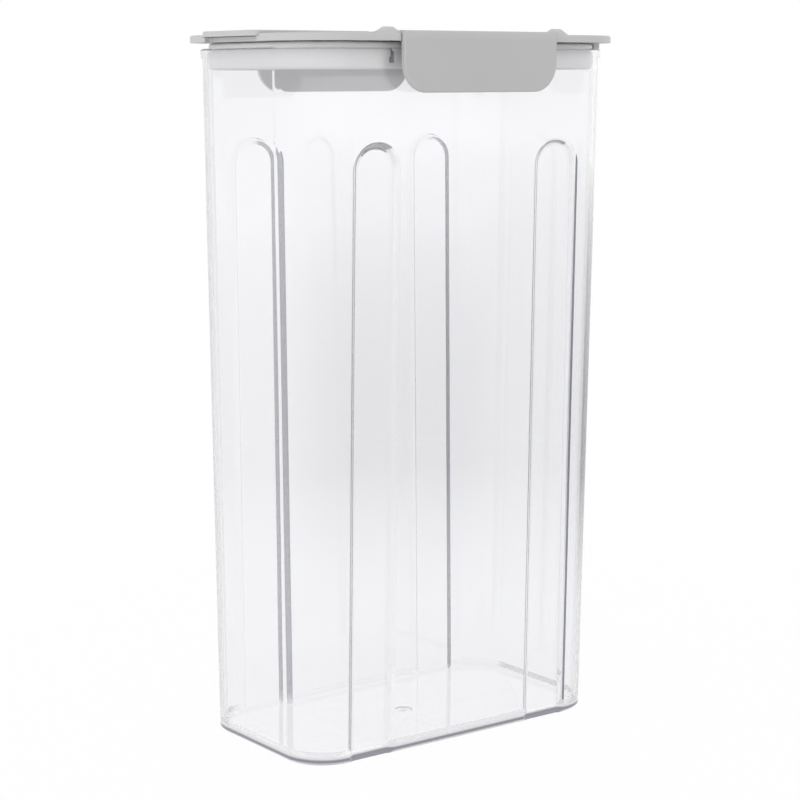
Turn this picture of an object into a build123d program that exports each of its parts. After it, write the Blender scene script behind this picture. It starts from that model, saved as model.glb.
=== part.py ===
from build123d import *
import math
import os

# Tall clear cereal container with a latched lid and a flip spout.
# Millimetres. +X along the long wall with the spout at -X, front latch at -Y, +Z up.
# The origin is the centre of the face the container stands on.

# ---- container body ----
base_length = 156.5
base_width = 82.5
base_corner = 18.8          # plan radius of the corners at the base
body_height = 292.5
draft = 0.9                 # degrees each wall leans out
wall = 2.0
floor = 2.6
foot_bevel = 1.2            # outer edge the container stands on
floor_bevel = 3.0           # inside, where the walls meet the floor
rim_height = 3.8
rim_proud = 0.8
rim_edge = 0.5              # bevel along the rim's top
mouth_chamfer = 0.6
mouth_slope = 45.0

# ---- flutes: arch-topped grooves, two on each long wall, that stand out again inside ----
flute_width = 23.2          # at the wall's outer face
flute_depth = 1.8
flute_lean = 59.0           # degrees the groove's sides lean
flute_shoulder = 11.0       # radius of the arch's shoulders at the outer face
flute_from_corner = 0.35    # flat wall left between a groove and the corner's round
flute_top_drop = 37.3       # rim to the top of the arch
flute_inner_width = 22.2    # of the raised form inside, at the wall's inner face
flute_inner_depth = 1.6
flute_inner_lean = 30.0
flute_inner_shoulder = 10.5

# ---- moulding gate, a shallow dimple with a nub, under the base ----
gate_radius = 4.0
gate_depth = 0.7
gate_nub_radius = 1.2
gate_nub_height = 0.4

# ---- latch catches, one ledge on each long wall ----
catch_length = 85.0
catch_proud = 2.7
catch_height = 5.6
catch_drop = 0.6            # rim to the top of the ledge
catch_lead = 1.6            # slope the latch rides over

# ---- lid ----
flange_overhang = 5.0       # past the body's rim line
flange_thickness = 3.0
flange_gap = 2.5            # rim to the underside of the flange
flange_edge = 0.6           # bevel around the flange's top
skirt_inset = 5.6           # from the body's outside line to the skirt's outside
skirt_wall = 2.0
skirt_depth = 11.2
bead_proud = 1.1            # lip that holds the seal up
bead_height = 1.2
rib_thickness = 1.4
rib_depth = 4.0
rib_spacing = 36.0
rib_count = 2
rib_from_collar = 26.0
lug_length = 3.2            # short lugs under the flange, at the end away from the spout
lug_width = 4.4
lug_clearance = 0.3
lug_half_span = 28.0
lug_setback = 1.6

# ---- lid seal ----
seal_height = 6.2
seal_gap = 0.3              # to the body's inside wall
seal_seat = 0.1             # to the skirt and its lip
seal_slope = 2.2            # bevels that leave a narrow band in contact

# ---- spout in the lid ----
spout_length = 33.0
spout_width = 31.0
spout_corner = 8.0
spout_wall = 1.6
spout_depth = 6.0           # collar below the flange
spout_from_skirt = 2.4      # collar to the skirt at the end of the lid
cap_recess = 1.1            # seat for the cap, below the lid's top
notch_width = 38.0          # fingertip notch in the flange's edge under the cap
notch_depth = 4.2
notch_corner = 2.5

# ---- spout cap ----
cap_width = 40.6
cap_thickness = 2.2
cap_lip = 2.4               # past the flange's edge
cap_corner = 5.0
cap_edge = 0.5
cap_gap = 0.35              # around the cap in its recess
cap_lift = 0.2              # under the cap in its recess
cap_plug_gap = 1.0
cap_plug_wall = 1.6
cap_plug_depth = 4.2
cap_seal_height = 1.8
cap_seal_proud = 0.5
cap_seal_bite = 0.6         # depth of its groove in the plug
cap_seal_from_end = 1.0     # plug's end to the groove
cap_hinge_from_spout = 7.5
cap_turning_room = 2.35     # recess behind the barrel
cap_barrel_radius = 1.9
cap_barrel_gap = 0.35
cap_barrel_width = 28.0
cap_ear_width = 5.6
cap_hinge_rise = 0.4        # pin above the recess floor
pocket_floor = 1.4          # material under the hinge pocket

# ---- side latches ----
latch_width = 80.0
latch_thickness = 2.2
latch_reach = 24.6          # hinge down to the flap's lower edge, plus the barrel
latch_corner = 12.0
latch_edge = 0.5
latch_face_out = 6.0        # hinge line to the flap's outer face
latch_shoulder = 3.4
latch_hinge_in = 4.1        # flange edge to the hinge line
latch_hinge_drop = 1.0      # lid top down to the hinge line
latch_barrel_radius = 2.1
latch_barrel_gap = 0.4
latch_flap_gap = 0.7        # flap to the lid's edge behind it
latch_back_gap = 1.0        # barrel to the lid behind it, where its flat crown turns
latch_web = 4.4             # joins the barrel to the flap
hook_length = 60.0
hook_height = 2.2
hook_bite = 1.7
hook_gap = 0.3
ear_radius = 3.5            # at the middle of its dome
ear_end_radius = 1.6
ear_crown = 4.0             # straight part at its middle
ear_width = 11.7
ear_overlap = 1.7           # part of each ear that lies behind the flap

# ---- hinge pins ----
latch_pin_radius = 1.0
cap_pin_radius = 0.8
pin_running_gap = 0.05
pin_seat_gap = 0.02
pin_end_wall = 1.5

# ---- worked out ----
lean = math.tan(math.radians(draft))
mouth_length = base_length + 2 * body_height * lean
mouth_width = base_width + 2 * body_height * lean
mouth_corner = base_corner + body_height * lean
flange_low = body_height + flange_gap
lid_top = flange_low + flange_thickness
flange_length = mouth_length + 2 * flange_overhang
flange_width = mouth_width + 2 * flange_overhang
flange_corner = mouth_corner + flange_overhang
skirt_low = flange_low - skirt_depth
skirt_length = mouth_length - 2 * skirt_inset
skirt_width = mouth_width - 2 * skirt_inset
skirt_corner = mouth_corner - skirt_inset
catch_high = body_height - catch_drop
catch_low = catch_high - catch_height
latch_y = flange_width / 2 - latch_hinge_in
latch_z = lid_top - latch_hinge_drop
ear_inner = latch_width / 2 - ear_overlap
recess_z = lid_top - cap_recess
cap_low = recess_z + cap_lift
cap_z = recess_z + cap_hinge_rise
spout_end_x = -(skirt_length / 2 - skirt_wall - spout_from_skirt - spout_wall)
spout_x = spout_end_x + spout_length / 2
cap_hinge_x = spout_end_x + spout_length + cap_hinge_from_spout
cap_tip_x = -(flange_length / 2 + cap_lip)
over = 1.0                  # how far a cutter runs past the face it cuts


def with_mirror(shape, plane):
    """The shape and its mirror image."""
    return shape + mirror(shape, about=plane)


def leaning_block(inset, low, high, slope=draft):
    """Rounded block that starts on the body's outside line, moved in by inset, and widens by slope."""
    length = base_length + 2 * (low * lean - inset)
    width = base_width + 2 * (low * lean - inset)
    corner = base_corner + low * lean - inset
    outline = Plane.XY.offset(low) * RectangleRounded(length, width, corner)
    return extrude(outline, high - low, taper=-slope)


def rounded_block(length, width, corner, low, high, x=0.0):
    outline = Pos(x, 0, low) * RectangleRounded(length, width, corner)
    return extrude(outline, high - low)


def ring(length, width, corner, thickness, low, high, x=0.0):
    outer = rounded_block(length, width, corner, low, high, x)
    inner = rounded_block(
        length - 2 * thickness, width - 2 * thickness, corner - thickness, low - over, high + over, x
    )
    return outer - inner


def box(x_low, x_high, y_low, y_high, z_low, z_high):
    size = Box(x_high - x_low, y_high - y_low, z_high - z_low)
    return Pos((x_low + x_high) / 2, (y_low + y_high) / 2, (z_low + z_high) / 2) * size


def bar_x(radius, x_low, x_high, y, z):
    """Round bar along X."""
    return Pos((x_low + x_high) / 2, y, z) * Rot(0, 90, 0) * Cylinder(radius, x_high - x_low)


def bar_y(radius, y_low, y_high, x, z):
    """Round bar along Y."""
    return Pos(x, (y_low + y_high) / 2, z) * Rot(90, 0, 0) * Cylinder(radius, y_high - y_low)


def edges_at(shape, z):
    return shape.edges().filter_by(lambda edge: abs(edge.bounding_box().min.Z - z) < 0.01
                                   and abs(edge.bounding_box().max.Z - z) < 0.01)


def flute_form(inset, width, depth, side_lean, shoulder):
    """One flute at the front left; width and shoulder are measured on the wall face at inset."""
    centre_x = -(base_length / 2 - base_corner - flute_from_corner - flute_width / 2)
    spread = depth * math.tan(math.radians(side_lean))
    top = body_height - flute_top_drop - (flute_width - width) / 2 - spread
    bottom = -over
    face = Plane(
        origin=(centre_x, -base_width / 2, 0),
        x_dir=(1, 0, 0),
        z_dir=(0, -math.cos(math.radians(draft)), -math.sin(math.radians(draft))),
    )
    outline = Pos(0, (top + bottom) / 2) * Rectangle(width - 2 * spread, top - bottom)
    corners = outline.vertices().group_by(Axis.Y)[-1]
    outline = fillet(corners, shoulder - spread)
    deep_face = face.offset(-(inset + depth))
    return extrude(deep_face * outline, depth + over, taper=-side_lean)


def four_of(form):
    return with_mirror(with_mirror(form, Plane.YZ), Plane.XZ)


def flute_grooves():
    return four_of(flute_form(0, flute_width, flute_depth, flute_lean, flute_shoulder))


def flute_ridges():
    return four_of(flute_form(wall, flute_inner_width, flute_inner_depth, flute_inner_lean,
                              flute_inner_shoulder))


def catch():
    """Ledge on the front wall that the latch's hook pulls against."""
    wall_y = mouth_width / 2
    bar = box(-catch_length / 2, catch_length / 2, -(wall_y + catch_proud - catch_drop * lean),
              -(wall_y - wall), catch_low, catch_high)
    outer_edge = bar.edges().group_by(Axis.Z)[-1].sort_by(Axis.Y)[0]
    bar = chamfer(outer_edge, catch_lead)
    ends = bar.edges().filter_by(Axis.Z).group_by(Axis.Y)[0]
    return fillet(ends, catch_proud / 2)


def gate():
    dimple = Cylinder(gate_radius, 2 * gate_depth)
    nub = Pos(0, 0, gate_depth - gate_nub_height / 2) * Cylinder(gate_nub_radius, gate_nub_height)
    return dimple - nub


def container_body():
    shell = leaning_block(0, 0, body_height)
    shell = chamfer(edges_at(shell, 0), foot_bevel)
    rim = leaning_block(-rim_proud, body_height - rim_height, body_height)
    rim = chamfer(edges_at(rim, body_height), rim_edge)
    shell += rim
    shell += with_mirror(catch(), Plane.XZ)
    shell -= flute_grooves()
    hollow = leaning_block(wall, floor, body_height + over)
    hollow = chamfer(edges_at(hollow, floor), floor_bevel)
    hollow -= flute_ridges()
    shell -= hollow
    shell -= leaning_block(wall, body_height - mouth_chamfer, body_height + over, mouth_slope)
    return shell - gate()


def latch_ears():
    """Pair of lens-shaped ears on the front edge of the lid, each with a plain neck inside."""
    half = ear_width / 2
    middle_x = ear_inner + half
    crown = ear_crown / 2
    profile = Polyline((-half, 0), (-half, ear_end_radius), (-crown, ear_radius), (crown, ear_radius),
                       (half, ear_end_radius), (half, 0), close=True)
    lens = revolve(make_face(profile), axis=Axis.X)
    ear = bar_x(latch_barrel_radius, ear_inner, middle_x, -latch_y, latch_z)
    ear += Pos(middle_x, -latch_y, latch_z) * lens
    ear -= box(0, flange_length, -flange_width, 0, flange_low - ear_radius, flange_low)
    return with_mirror(ear, Plane.YZ)


def latch_room():
    """What is cut from the flange so that the front latch can hang and turn."""
    edge = flange_width / 2
    flap_side = latch_width / 2 + latch_barrel_gap
    flap_back = latch_y + latch_face_out - latch_thickness - latch_flap_gap
    flap_room = box(-flap_side, flap_side, -edge - over, -flap_back, flange_low - over, lid_top + over)
    barrel_room = box(-ear_inner, ear_inner, -edge - over,
                      -(latch_y - latch_barrel_radius - latch_back_gap),
                      flange_low - over, lid_top + over)
    return flap_room + barrel_room


def latch_pin_bore():
    """Blind in the left ear and open at the end of the right one, so that the pin goes in."""
    left = -(ear_inner + ear_width - pin_end_wall)
    return bar_x(latch_pin_radius + pin_seat_gap, left, ear_inner + ear_width + over, -latch_y, latch_z)


def spout_collar():
    return ring(spout_length + 2 * spout_wall, spout_width + 2 * spout_wall, spout_corner + spout_wall,
                spout_wall, flange_low - spout_depth, flange_low + over, spout_x)


def cap_seat():
    """Recess in the lid's top that the cap lies in, open at the end of the lid."""
    half = cap_width / 2 + cap_gap
    back = cap_hinge_x + cap_barrel_radius + cap_turning_room
    seat = box(cap_tip_x - over, back, -half, half, recess_z, lid_top + over)
    corners = seat.edges().filter_by(Axis.Z).group_by(Axis.X)[-1]
    return fillet(corners, notch_corner)


def cap_hinge_block():
    """Thicker stretch under the lid that carries the cap's hinge pocket."""
    reach = cap_barrel_radius + cap_barrel_gap + pocket_floor
    half = cap_barrel_width / 2 + cap_ear_width
    return box(cap_hinge_x - reach, cap_hinge_x + reach, -half, half, cap_z - reach, flange_low + over)


def cap_ears():
    inner = cap_barrel_width / 2 + cap_barrel_gap
    ear = bar_y(cap_barrel_radius, inner, inner + cap_ear_width, cap_hinge_x, cap_z)
    ear = ear + box(cap_hinge_x - cap_barrel_radius, cap_hinge_x + cap_barrel_radius, inner,
                    inner + cap_ear_width, recess_z - over, cap_z)
    return with_mirror(ear, Plane.XZ)


def lid_ribs():
    """Ribs across the underside of the lid, from skirt to skirt."""
    half = (skirt_width - skirt_wall) / 2
    ribs = []
    for number in range(rib_count):
        x = cap_hinge_x + rib_from_collar + number * rib_spacing
        ribs.append(box(x - rib_thickness / 2, x + rib_thickness / 2, -half, half,
                        flange_low - rib_depth, flange_low + over))
    return ribs


def lid_lugs():
    """Short lugs that stop the lid's end from being pressed down too far."""
    x = mouth_length / 2 + lug_setback
    lug = box(x - lug_length, x, lug_half_span - lug_width / 2, lug_half_span + lug_width / 2,
              body_height + lug_clearance, flange_low + over)
    return with_mirror(lug, Plane.XZ)


def lid_plate():
    plate = rounded_block(flange_length, flange_width, flange_corner, flange_low, lid_top)
    plate = chamfer(edges_at(plate, lid_top), flange_edge)
    plate -= with_mirror(latch_room(), Plane.XZ)
    plate += with_mirror(latch_ears(), Plane.XZ)
    plate += ring(skirt_length, skirt_width, skirt_corner, skirt_wall, skirt_low, flange_low + over)
    plate += ring(skirt_length + 2 * bead_proud, skirt_width + 2 * bead_proud,
                  skirt_corner + bead_proud, bead_proud + skirt_wall, skirt_low, skirt_low + bead_height)
    for rib in lid_ribs():
        plate += rib
    plate += lid_lugs()
    plate += spout_collar()
    plate += cap_hinge_block()
    plate -= cap_seat()
    pocket = cap_barrel_width / 2 + cap_barrel_gap
    plate -= bar_y(cap_barrel_radius + cap_barrel_gap, -pocket, pocket, cap_hinge_x, cap_z)
    plate += cap_ears()
    plate -= rounded_block(spout_length, spout_width, spout_corner, flange_low - spout_depth - over,
                           lid_top + over, spout_x)
    notch = box(-flange_length / 2 - over, -flange_length / 2 + notch_depth, -notch_width / 2,
                notch_width / 2, flange_low - over, lid_top + over)
    plate -= fillet(notch.edges().filter_by(Axis.Z).group_by(Axis.X)[-1], notch_corner)
    plate -= with_mirror(latch_pin_bore(), Plane.XZ)
    cap_bore = cap_barrel_width / 2 + cap_ear_width - pin_end_wall
    plate -= bar_y(cap_pin_radius + pin_seat_gap, -cap_bore, cap_bore + pin_end_wall + over,
                   cap_hinge_x, cap_z)
    return plate


def lid_seal():
    """Bulging ring around the skirt, held up by the skirt's lip."""
    low = skirt_low + bead_height + seal_seat
    reach = low * lean + base_length / 2 - wall - seal_gap - skirt_length / 2
    grown = 2 * reach
    seal = rounded_block(skirt_length + grown, skirt_width + grown, skirt_corner + reach, low,
                         low + seal_height)
    seal = chamfer(edges_at(seal, low) + edges_at(seal, low + seal_height), seal_slope)
    hole = 2 * seal_seat
    return seal - rounded_block(skirt_length + hole, skirt_width + hole, skirt_corner + seal_seat,
                                low - over, low + seal_height + over)


def plug_ring(gap, thickness, low, high):
    return ring(spout_length - 2 * gap, spout_width - 2 * gap, spout_corner - gap, thickness, low, high,
                spout_x)


def cap_seal_low():
    return cap_low - cap_plug_depth + cap_seal_from_end


def spout_cap():
    end_x = cap_hinge_x - cap_barrel_radius - cap_gap
    length = end_x - cap_tip_x
    outline = Pos((end_x + cap_tip_x) / 2, 0, cap_low) * Rectangle(length, cap_width)
    outline = fillet(outline.vertices().group_by(Axis.X)[0], cap_corner)
    plate = extrude(outline, cap_thickness)
    plate = chamfer(edges_at(plate, cap_low + cap_thickness), cap_edge)
    half = cap_barrel_width / 2
    plate += box(end_x - over, cap_hinge_x, -half, half, cap_low, cap_low + cap_thickness - cap_lift)
    plate += bar_y(cap_barrel_radius, -half, half, cap_hinge_x, cap_z)
    plate += plug_ring(cap_plug_gap, cap_plug_wall, cap_low - cap_plug_depth, cap_low + over)
    groove_low = cap_seal_low()
    plate -= plug_ring(cap_plug_gap - over, cap_seal_bite + over, groove_low,
                       groove_low + cap_seal_height)
    return plate - bar_y(cap_pin_radius + pin_running_gap, -half - over, half + over, cap_hinge_x, cap_z)


def spout_seal():
    low = cap_seal_low() + pin_seat_gap
    high = cap_seal_low() + cap_seal_height - pin_seat_gap
    gap = cap_plug_gap - cap_seal_proud
    return plug_ring(gap, cap_seal_proud + cap_seal_bite - pin_seat_gap, low, high)


def front_latch():
    """Flap with a hook inside and a barrel that turns between the lid's ears."""
    flap_low = latch_z - latch_reach + latch_barrel_radius
    outer = -(latch_y + latch_face_out)
    inner = outer + latch_thickness
    half = latch_width / 2
    top = latch_z + latch_barrel_radius
    flap = box(-half, half, outer, inner, flap_low, top)
    flap = fillet(flap.edges().filter_by(Axis.Y).group_by(Axis.Z)[0], latch_corner)
    outline = flap.faces().sort_by(Axis.Y)[0].edges()
    flap = chamfer(outline.filter_by(lambda edge: edge.center().Z < top - over), latch_edge)
    web = box(-ear_inner + latch_barrel_gap, ear_inner - latch_barrel_gap, outer, -latch_y,
              top - latch_web, top)
    latch = flap + web
    crown = latch.edges().filter_by(Axis.X).group_by(Axis.Z)[-1].group_by(Axis.Y)[0]
    latch = fillet(crown, latch_shoulder)
    latch += bar_x(latch_barrel_radius, -ear_inner + latch_barrel_gap, ear_inner - latch_barrel_gap,
                   -latch_y, latch_z)
    wall_y = mouth_width / 2 + catch_proud - hook_bite
    latch += box(-hook_length / 2, hook_length / 2, inner - latch_thickness / 2, -wall_y,
                 catch_low - hook_gap - hook_height, catch_low - hook_gap)
    return latch - bar_x(latch_pin_radius + pin_running_gap, -half, half, -latch_y, latch_z)


def latch_pin():
    left = -(ear_inner + ear_width - pin_end_wall) + pin_seat_gap
    return bar_x(latch_pin_radius, left, -left, -latch_y, latch_z)


def spout_pin():
    half = cap_barrel_width / 2 + cap_ear_width - pin_end_wall - pin_seat_gap
    return bar_y(cap_pin_radius, -half, half, cap_hinge_x, cap_z)


latch = front_latch()
pin = latch_pin()
nodes = {
    "container_body": container_body(),
    "lid_plate": lid_plate(),
    "lid_seal": lid_seal(),
    "spout_cap": spout_cap(),
    "spout_seal": spout_seal(),
    "spout_hinge_pin": spout_pin(),
    "front_latch": latch,
    "back_latch": mirror(latch, about=Plane.XZ),
    "front_latch_pin": pin,
    "back_latch_pin": mirror(pin, about=Plane.XZ),
}

os.makedirs("parts", exist_ok=True)
for name, shape in nodes.items():
    export_step(shape, f"parts/{name}.step")
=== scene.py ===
import math

import bpy
from mathutils import Matrix, Vector


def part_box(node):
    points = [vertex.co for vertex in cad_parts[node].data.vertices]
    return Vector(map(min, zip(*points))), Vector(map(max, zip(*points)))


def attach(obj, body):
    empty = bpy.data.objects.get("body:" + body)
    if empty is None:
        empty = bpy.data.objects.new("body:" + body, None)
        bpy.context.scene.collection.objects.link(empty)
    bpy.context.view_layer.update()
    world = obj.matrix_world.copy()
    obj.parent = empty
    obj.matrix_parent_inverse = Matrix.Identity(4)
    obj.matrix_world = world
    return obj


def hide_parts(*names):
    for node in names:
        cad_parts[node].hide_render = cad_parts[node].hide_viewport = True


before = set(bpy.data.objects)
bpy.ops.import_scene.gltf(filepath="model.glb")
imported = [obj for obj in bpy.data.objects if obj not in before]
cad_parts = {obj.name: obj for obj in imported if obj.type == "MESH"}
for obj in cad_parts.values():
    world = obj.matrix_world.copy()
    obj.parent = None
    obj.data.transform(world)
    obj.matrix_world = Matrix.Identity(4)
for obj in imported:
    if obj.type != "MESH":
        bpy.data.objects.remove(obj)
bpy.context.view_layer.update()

# helpers for colours and nodes

mmPerMetre = 1000.0  # a pattern's scale is this over its size in mm


def toLinear(hexColour):
    # sRGB hex such as "C4C4C4" to linear red, green, blue, alpha
    parts = [int(hexColour[i:i + 2], 16) / 255 for i in (0, 2, 4)]
    return [p / 12.92 if p <= 0.04045 else ((p + 0.055) / 1.055) ** 2.4 for p in parts] + [1.0]


def addNode(tree, kind, settings=None, links=None, **attributes):
    # settings put a number or colour on a socket, links join it to an output, by its name or place;
    # on a mix node 0 is the share, 2 and 3 are numbers, 6 and 7 are colours
    node = tree.nodes.new(kind)
    for name, value in attributes.items():
        setattr(node, name, value)
    for name, value in (settings or {}).items():
        node.inputs[name].default_value = value
    for name, source in (links or {}).items():
        tree.links.new(source, node.inputs[name])
    return node


def startMaterial(name):
    material = bpy.data.materials.new(name)
    material.use_nodes = True
    material.node_tree.nodes.clear()
    return material, material.node_tree


def addMirrored(tree, light, times):
    # 1 for light that surfaces have mirrored this many times or more, so the bound is half a count less
    return addNode(tree, "ShaderNodeMath", {1: times - 0.5}, {0: light.outputs["Glossy Depth"]},
                   operation="GREATER_THAN").outputs[0]


def dress(nodeName, material):
    # puts one material on a CAD piece
    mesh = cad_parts[nodeName].data
    mesh.materials.clear()
    mesh.materials.append(material)


# container: clear SAN, injection moulded and polished

clearPlastic = {
    "ior": 1.57,  # typical for SAN
    "roughness": 0.012,
    "tint": "FEFEFF",
    "clear": 0.95,  # the rest is the faint haze of moulded plastic
    "edgeTint": "C5C5CB",  # thick edges read as a cool grey
    "edgeDensity": 38.0,  # per metre, so a 2 mm wall stays clear
    "flowSize": 45.0,  # mm between the slow swells that moulding leaves
    "flowDepth": 0.00009,
    "shadowTint": "FEFEFE",  # of the light that a wall lets through on its way to other things
    "trapped": 2,  # mirrorings inside a wall after which light leaves it
    "trappedTint": "D2D2DA",
    "rimTintAndShade": "5A5864",  # the plastic's own tint through the floor's whole width, deepened by painted shade for the dark band that the thick edge shows
    "rimTop": (0.0023, 0.0031),  # heights between which that tint ends
    "rimLean": 0.6,  # the tint is on faces that look outwards, not up or down
}


def makeClearPlastic():
    # the eye sees almost nothing on the flats, and dark lines where the walls turn edge on
    material, tree = startMaterial("sanMouldedClear")
    geometry = addNode(tree, "ShaderNodeNewGeometry")
    position = geometry.outputs["Position"]
    swell = addNode(tree, "ShaderNodeTexNoise", {"Scale": mmPerMetre / clearPlastic["flowSize"],
                                                 "Detail": 1.0}, {"Vector": position})
    bump = addNode(tree, "ShaderNodeBump", {"Strength": 1.0, "Distance": clearPlastic["flowDepth"]},
                   {"Height": swell.outputs["Fac"]})
    # the rim's tint with painted shade: low down, on upright faces, and only where light enters from
    # outside
    height = addNode(tree, "ShaderNodeSeparateXYZ", None, {"Vector": position}).outputs["Z"]
    normal = addNode(tree, "ShaderNodeSeparateXYZ", None, {"Vector": geometry.outputs["True Normal"]})
    lean = addNode(tree, "ShaderNodeMath", None, {0: normal.outputs["Z"]}, operation="ABSOLUTE")
    outer = addNode(tree, "ShaderNodeMath", None, {
        0: lean.outputs[0], 1: geometry.outputs["Backfacing"]}, operation="ADD")
    upright = addNode(tree, "ShaderNodeMath", {1: clearPlastic["rimLean"]}, {0: outer.outputs[0]},
                      operation="LESS_THAN")
    low = addNode(tree, "ShaderNodeMapRange", {
        "From Min": clearPlastic["rimTop"][0], "From Max": clearPlastic["rimTop"][1], "To Min": 1.0,
        "To Max": 0.0}, {"Value": height})
    rim = addNode(tree, "ShaderNodeMath", None, {0: upright.outputs[0], 1: low.outputs[0]},
                  operation="MULTIPLY")
    # painted shade: a dark base colour on the foot's outer faces stands in for the band that light bent
    # through the thick floor edge shows dark
    colour = addNode(tree, "ShaderNodeMix", {6: toLinear(clearPlastic["tint"]),
                                             7: toLinear(clearPlastic["rimTintAndShade"])},
                     {0: rim.outputs[0]}, data_type="RGBA")
    body = addNode(tree, "ShaderNodeBsdfPrincipled", {
        "Roughness": clearPlastic["roughness"], "IOR": clearPlastic["ior"],
        "Transmission Weight": clearPlastic["clear"]},
        {"Base Color": colour.outputs[2], "Normal": bump.outputs["Normal"]})
    light = addNode(tree, "ShaderNodeLightPath")
    leak = addNode(tree, "ShaderNodeBsdfTransparent", {"Color": toLinear(clearPlastic["trappedTint"])})
    body = addNode(tree, "ShaderNodeMixShader", None, {
        0: addMirrored(tree, light, clearPlastic["trapped"]), 1: body.outputs[0], 2: leak.outputs[0]})
    passed = addNode(tree, "ShaderNodeBsdfTransparent", {"Color": toLinear(clearPlastic["shadowTint"])})
    softRay = addNode(tree, "ShaderNodeMath", None, {0: light.outputs["Is Shadow Ray"],
                                                     1: light.outputs["Is Diffuse Ray"]},
                      operation="MAXIMUM")
    mix = addNode(tree, "ShaderNodeMixShader", None, {0: softRay.outputs[0], 1: body.outputs[0],
                                                      2: passed.outputs[0]})
    depth = addNode(tree, "ShaderNodeVolumeAbsorption", {"Color": toLinear(clearPlastic["edgeTint"]),
                                                         "Density": clearPlastic["edgeDensity"]})
    addNode(tree, "ShaderNodeOutputMaterial", None, {"Surface": mix.outputs[0],
                                                     "Volume": depth.outputs[0]})
    return material


# lid, cap and latches: ABS, injection moulded with a fine spark texture

lidPlastic = {"colour": "BDBDBD", "shade": "B7B7B7", "roughness": (0.37, 0.47)}
latchPlastic = {"colour": "B5B5B5", "shade": "B0B0B0", "roughness": (0.45, 0.55)}

mouldTexture = {
    "ior": 1.53,  # typical for ABS
    "grain": 0.9,  # mm, the real one is nearer 0.1 mm and wouldn't show
    "grainDepth": 0.00004,
    "grainShare": 0.25,
    "cloud": 40.0,  # mm between the faint changes from colour to shade
}


def makeMouldedPlastic(name, look):
    # an even grey with a soft sheen, barely broken by the mould's texture
    material, tree = startMaterial(name)
    position = addNode(tree, "ShaderNodeNewGeometry").outputs["Position"]
    grain = addNode(tree, "ShaderNodeTexNoise", {"Scale": mmPerMetre / mouldTexture["grain"],
                                                 "Detail": 2.0}, {"Vector": position})
    cloud = addNode(tree, "ShaderNodeTexNoise", {"Scale": mmPerMetre / mouldTexture["cloud"],
                                                 "Detail": 2.0}, {"Vector": position})
    colour = addNode(tree, "ShaderNodeMix", {6: toLinear(look["shade"]), 7: toLinear(look["colour"])},
                     {0: cloud.outputs["Fac"]}, data_type="RGBA")
    rough = addNode(tree, "ShaderNodeMapRange", {"To Min": look["roughness"][0],
                                                 "To Max": look["roughness"][1]},
                    {"Value": grain.outputs["Fac"]})
    bump = addNode(tree, "ShaderNodeBump", {"Strength": mouldTexture["grainShare"],
                                            "Distance": mouldTexture["grainDepth"]},
                   {"Height": grain.outputs["Fac"]})
    body = addNode(tree, "ShaderNodeBsdfPrincipled", {"IOR": mouldTexture["ior"]},
                   {"Base Color": colour.outputs[2], "Roughness": rough.outputs[0],
                    "Normal": bump.outputs["Normal"]})
    addNode(tree, "ShaderNodeOutputMaterial", None, {"Surface": body.outputs[0]})
    return material


# seals: silicone, moulded, translucent

silicone = {
    "colour": "DCDCDC",
    "ior": 1.41,  # typical for silicone
    "roughness": (0.27, 0.43),
    "mottle": 4.0,  # mm between slightly duller and shinier places
    "clear": 0.12,
    "milky": 0.5,  # share of the light that spreads inside
    "spread": 0.004,  # how far it spreads
}


def makeSilicone():
    # milky and soft edged, with light showing through its rim
    material, tree = startMaterial("siliconeMouldedTranslucent")
    position = addNode(tree, "ShaderNodeNewGeometry").outputs["Position"]
    mottle = addNode(tree, "ShaderNodeTexNoise", {"Scale": mmPerMetre / silicone["mottle"],
                                                  "Detail": 2.0}, {"Vector": position})
    rough = addNode(tree, "ShaderNodeMapRange", {"To Min": silicone["roughness"][0],
                                                 "To Max": silicone["roughness"][1]},
                    {"Value": mottle.outputs["Fac"]})
    body = addNode(tree, "ShaderNodeBsdfPrincipled", {
        "Base Color": toLinear(silicone["colour"]), "IOR": silicone["ior"],
        "Transmission Weight": silicone["clear"], "Subsurface Weight": silicone["milky"],
        "Subsurface Radius": [silicone["spread"]] * 3, "Subsurface Scale": 1.0},
        {"Roughness": rough.outputs[0]})
    addNode(tree, "ShaderNodeOutputMaterial", None, {"Surface": body.outputs[0]})
    return material


# pins: stainless wire, drawn and cut

pinSteel = {
    "colour": "CFCFD0",
    "roughness": (0.2, 0.38),
    "speckle": 0.3,  # mm, coarser than the marks that drawing leaves, which wouldn't show
}


def makePinSteel():
    # bright grey metal whose shine is broken by fine marks
    material, tree = startMaterial("stainlessWireDrawn")
    position = addNode(tree, "ShaderNodeNewGeometry").outputs["Position"]
    speckle = addNode(tree, "ShaderNodeTexNoise", {"Scale": mmPerMetre / pinSteel["speckle"],
                                                   "Detail": 1.0}, {"Vector": position})
    rough = addNode(tree, "ShaderNodeMapRange", {"To Min": pinSteel["roughness"][0],
                                                 "To Max": pinSteel["roughness"][1]},
                    {"Value": speckle.outputs["Fac"]})
    body = addNode(tree, "ShaderNodeBsdfPrincipled", {
        "Base Color": toLinear(pinSteel["colour"]), "Metallic": 1.0}, {"Roughness": rough.outputs[0]})
    addNode(tree, "ShaderNodeOutputMaterial", None, {"Surface": body.outputs[0]})
    return material


clearBody = makeClearPlastic()
lidGrey = makeMouldedPlastic("absMouldedLightGrey", lidPlastic)
latchGrey = makeMouldedPlastic("absMouldedGrey", latchPlastic)
softSeal = makeSilicone()
wire = makePinSteel()

dress("container_body", clearBody)
for part in ("lid_plate", "spout_cap"):
    dress(part, lidGrey)
for part in ("front_latch", "back_latch"):
    dress(part, latchGrey)
for part in ("lid_seal", "spout_seal"):
    dress(part, softSeal)
for part in ("spout_hinge_pin", "front_latch_pin", "back_latch_pin"):
    dress(part, wire)
print("materials are on the pieces")

# seals: soft rings with bulging lobes, drawn as (out, up) from the outside of the CAD ring's foot

ringSteps = {"lobe": 14, "corner": 16}

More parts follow.
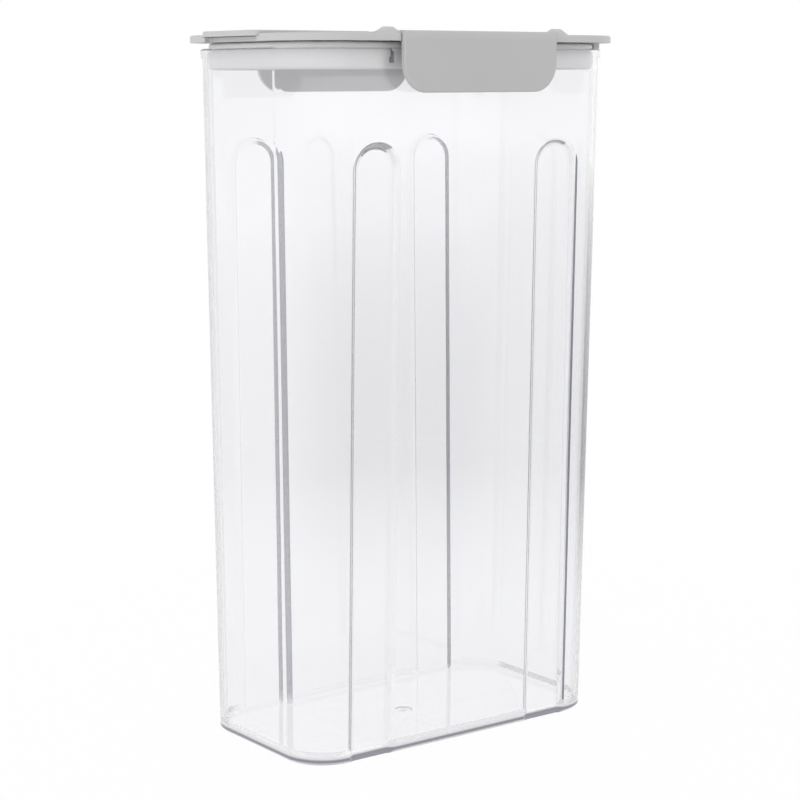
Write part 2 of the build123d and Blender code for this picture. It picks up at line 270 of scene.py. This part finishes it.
lidRing = {
    "corner": 0.0207,  # plan radius of its outside
    "lobes": [  # a broad one against the wall and a small one above it
        {"middle": 0.0029, "half": 0.0040, "peak": 0.0, "depth": 0.0019},
        {"middle": 0.00825, "half": 0.00135, "peak": -0.0005, "depth": 0.0012},
    ],
    "inside": [  # down the skirt and round its lip
        (-0.00308, 0.0096), (-0.00308, 0.0), (-0.00195, 0.0), (-0.00195, -0.0011),
    ],
}

spoutRing = {
    "corner": 0.0075,
    "lobes": [{"middle": 0.00088, "half": 0.00088, "peak": 0.0, "depth": 0.0004}],
    "inside": [(-0.00108, 0.00176), (-0.00108, 0.0)],  # in the plug's groove
}


def lobeOutline(lobe):
    # bulging curve from its low end to its high end
    points = []
    for step in range(ringSteps["lobe"] + 1):
        angle = math.radians(-90 + 180 * step / ringSteps["lobe"])
        points.append((lobe["peak"] - lobe["depth"] * (1 - math.cos(angle)),
                       lobe["middle"] + lobe["half"] * math.sin(angle)))
    return points


def cornerWalk(middle, halfLength, halfWidth, radius):
    # points and outward directions round a rounded rectangle
    walk = []
    for quarter, (alongX, alongY) in enumerate(((1, 1), (-1, 1), (-1, -1), (1, -1))):
        for step in range(ringSteps["corner"] + 1):
            angle = math.radians(90 * (quarter + step / ringSteps["corner"]))
            out = Vector((math.cos(angle), math.sin(angle), 0))
            corner = middle + Vector((alongX * (halfLength - radius), alongY * (halfWidth - radius), 0))
            walk.append((corner + out * radius, out))
    return walk


def makeSealRing(name, node, body, ring):
    # carries the outline round the CAD ring's box
    lowest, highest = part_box(node)
    middle = (lowest + highest) / 2
    middle.z = lowest.z
    outline = []
    for lobe in ring["lobes"]:
        outline += lobeOutline(lobe)[1 if outline else 0:]
    outline += ring["inside"]
    walk = cornerWalk(middle, highest.x - middle.x, highest.y - middle.y, ring["corner"])
    points = [place + out * across + Vector((0, 0, up))
              for place, out in walk for across, up in outline]
    count = len(outline)
    faces = []
    for here in range(len(walk)):
        onward = (here + 1) % len(walk)
        for low in range(count):
            high = (low + 1) % count
            faces.append((here * count + low, onward * count + low,
                          onward * count + high, here * count + high))
    mesh = bpy.data.meshes.new(name)
    mesh.from_pydata(points, [], faces)
    mesh.shade_smooth()
    mesh.materials.append(softSeal)
    piece = bpy.data.objects.new(name, mesh)
    bpy.context.scene.collection.objects.link(piece)
    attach(piece, body)
    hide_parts(node)


makeSealRing("sealRing", "lid_seal", "lid", lidRing)
makeSealRing("spoutSealRing", "spout_seal", "spout_cap", spoutRing)
print("seal rings are made")

# stage: a white studio, whose front side only mirrored light meets

stage = {
    "floorHalf": 6.0,
    "floorColour": "FAFAFA",
    "floorGlow": 0.92,  # part of the near floor that is plain white, the rest takes the shadow
    "glowRange": (0.25, 0.7),  # metres out from the container where the floor turns all white
    "ambient": 0.97,  # even light of the room
    "lampAim": (0, 0, 0.2),  # inside the container
    "roomSide": (0.26, -0.966, 0.0),  # towards the lit panels in front
    "panelTone": 1.45,  # brightness there, where plain white is 1
    "dimTone": 0.05,
    "dimFrom": (0.25, 0.6),  # metres out from the container where the table turns dim
    "dimTo": (1.0, 5.0),  # and where it turns as bright as the panels
    "mixedTone": 0.68,  # of light mirrored more than once
}

lamps = {
    "keySoftbox": {"place": (-2.2, -0.5, 0.5), "size": 1.0, "power": 10.0},
    "fillSoftbox": {"place": (1.2, -1.8, 1.2), "size": 1.2, "power": 0.6},
}


def addSeen(tree, light):
    # 1 for rays that should meet a plain white background
    seen = light.outputs["Is Camera Ray"]
    for kind in ("Is Glossy Ray", "Is Transmission Ray"):
        seen = addNode(tree, "ShaderNodeMath", None, {0: seen, 1: light.outputs[kind]},
                       operation="MAXIMUM").outputs[0]
    return seen


def addRoomTone(tree, light, direction, floorTone=None):
    # plain white seen straight on, and the room's front side in light that a surface has mirrored;
    # that side has the panels' tone unless the floor gives its own
    along = addNode(tree, "ShaderNodeVectorMath", None, {0: direction}, operation="NORMALIZE")
    facing = addNode(tree, "ShaderNodeVectorMath", {1: stage["roomSide"]}, {0: along.outputs[0]},
                     operation="DOT_PRODUCT")
    share = addNode(tree, "ShaderNodeMapRange", {"From Min": -1.0, "From Max": 1.0},
                    {"Value": facing.outputs["Value"]})
    once = addNode(tree, "ShaderNodeMix", {2: 1.0, 3: stage["panelTone"]}, {0: share.outputs[0]})
    if floorTone is not None:
        tree.links.new(floorTone, once.inputs[3])
    seen = addNode(tree, "ShaderNodeMix", {2: 1.0},
                   {0: addMirrored(tree, light, 1), 3: once.outputs[0]})
    return addNode(tree, "ShaderNodeMix", {3: stage["mixedTone"]},
                   {0: addMirrored(tree, light, 2), 2: seen.outputs[0]}).outputs[0]


def addFloorTone(tree, away):
    # the table is white by the container, dim further out, and the lit panels start behind that
    near = addNode(tree, "ShaderNodeMapRange", {
        "From Min": stage["dimFrom"][0], "From Max": stage["dimFrom"][1], "To Min": 1.0,
        "To Max": stage["dimTone"]}, {"Value": away})
    far = addNode(tree, "ShaderNodeMapRange", {
        "From Min": stage["dimTo"][0], "From Max": stage["dimTo"][1], "To Min": stage["dimTone"],
        "To Max": stage["panelTone"]}, {"Value": away})
    return addNode(tree, "ShaderNodeMath", None, {0: near.outputs[0], 1: far.outputs[0]},
                   operation="MAXIMUM").outputs[0]


def makeFloor():
    half = stage["floorHalf"]
    mesh = bpy.data.meshes.new("floor")
    mesh.from_pydata([(-half, -half, 0), (half, -half, 0), (half, half, 0), (-half, half, 0)], [],
                     [(0, 1, 2, 3)])
    floor = bpy.data.objects.new("floor", mesh)
    bpy.context.scene.collection.objects.link(floor)
    material, tree = startMaterial("studioFloorPaper")
    light = addNode(tree, "ShaderNodeLightPath")
    position = addNode(tree, "ShaderNodeNewGeometry").outputs["Position"]
    away = addNode(tree, "ShaderNodeVectorMath", None, {0: position}, operation="LENGTH")
    glowShare = addNode(tree, "ShaderNodeMapRange", {
        "From Min": stage["glowRange"][0], "From Max": stage["glowRange"][1],
        "To Min": stage["floorGlow"]}, {"Value": away.outputs["Value"]})
    share = addNode(tree, "ShaderNodeMath", None, {0: addSeen(tree, light), 1: glowShare.outputs[0]},
                    operation="MULTIPLY")
    paper = addNode(tree, "ShaderNodeBsdfDiffuse", {"Color": toLinear(stage["floorColour"])})
    glow = addNode(tree, "ShaderNodeEmission", {"Color": toLinear("FFFFFF")},
                   {"Strength": addRoomTone(tree, light, position,
                                            addFloorTone(tree, away.outputs["Value"]))})
    both = addNode(tree, "ShaderNodeMixShader", None, {0: share.outputs[0], 1: paper.outputs[0],
                                                       2: glow.outputs[0]})
    addNode(tree, "ShaderNodeOutputMaterial", None, {"Surface": both.outputs[0]})
    mesh.materials.append(material)


def makeWorld():
    world = bpy.data.worlds.new("studio")
    bpy.context.scene.world = world
    world.use_nodes = True
    tree = world.node_tree
    tree.nodes.clear()
    light = addNode(tree, "ShaderNodeLightPath")
    direction = addNode(tree, "ShaderNodeTexCoord").outputs["Generated"]
    plain = addNode(tree, "ShaderNodeBackground", {"Color": toLinear("FFFFFF"),
                                                   "Strength": stage["ambient"]})
    white = addNode(tree, "ShaderNodeBackground", {"Color": toLinear("FFFFFF")},
                    {"Strength": addRoomTone(tree, light, direction)})
    mix = addNode(tree, "ShaderNodeMixShader", None, {0: addSeen(tree, light), 1: plain.outputs[0],
                                                      2: white.outputs[0]})
    addNode(tree, "ShaderNodeOutputWorld", None, {"Surface": mix.outputs[0]})


def makeLamp(name, lamp):
    light = bpy.data.lights.new(name, "AREA")
    light.shape = "DISK"
    light.size = lamp["size"]
    light.energy = lamp["power"]
    holder = bpy.data.objects.new(name, light)
    bpy.context.scene.collection.objects.link(holder)
    holder.location = lamp["place"]
    holder.rotation_mode = "QUATERNION"
    aim = Vector(stage["lampAim"]) - Vector(lamp["place"])
    holder.rotation_quaternion = aim.to_track_quat("-Z", "Y")
    holder.visible_glossy = False  # the clear walls mirror the plain room, not the lamps
    holder.visible_transmission = False


makeFloor()
makeWorld()
for name, lamp in lamps.items():
    makeLamp(name, lamp)
print("stage is set")

# camera, at the photograph's viewpoint

cameraSet = {
    "place": (-0.54043, -0.70138, 0.28022),
    "turn": 35.482,  # degrees from +Y towards +X
    "down": 8.499,
    "roll": -0.174,
    "lens": 92.41,  # mm
    "sensor": 36.0,  # mm
    "shift": (0.0908, -0.0182),
    "clip": (0.05, 50.0),
}


def makeCamera():
    data = bpy.data.cameras.new("photoCamera")
    data.lens = cameraSet["lens"]
    data.sensor_width = cameraSet["sensor"]
    data.shift_x, data.shift_y = cameraSet["shift"]
    data.clip_start, data.clip_end = cameraSet["clip"]
    camera = bpy.data.objects.new("photoCamera", data)
    bpy.context.scene.collection.objects.link(camera)
    turn = Matrix.Rotation(math.radians(-cameraSet["turn"]), 4, "Z")
    tilt = Matrix.Rotation(math.radians(90 - cameraSet["down"]), 4, "X")
    roll = Matrix.Rotation(math.radians(cameraSet["roll"]), 4, "Z")
    camera.matrix_world = Matrix.Translation(cameraSet["place"]) @ turn @ tilt @ roll
    bpy.context.scene.camera = camera


makeCamera()
bpy.context.scene.view_settings.view_transform = "Standard"
print("camera is placed")
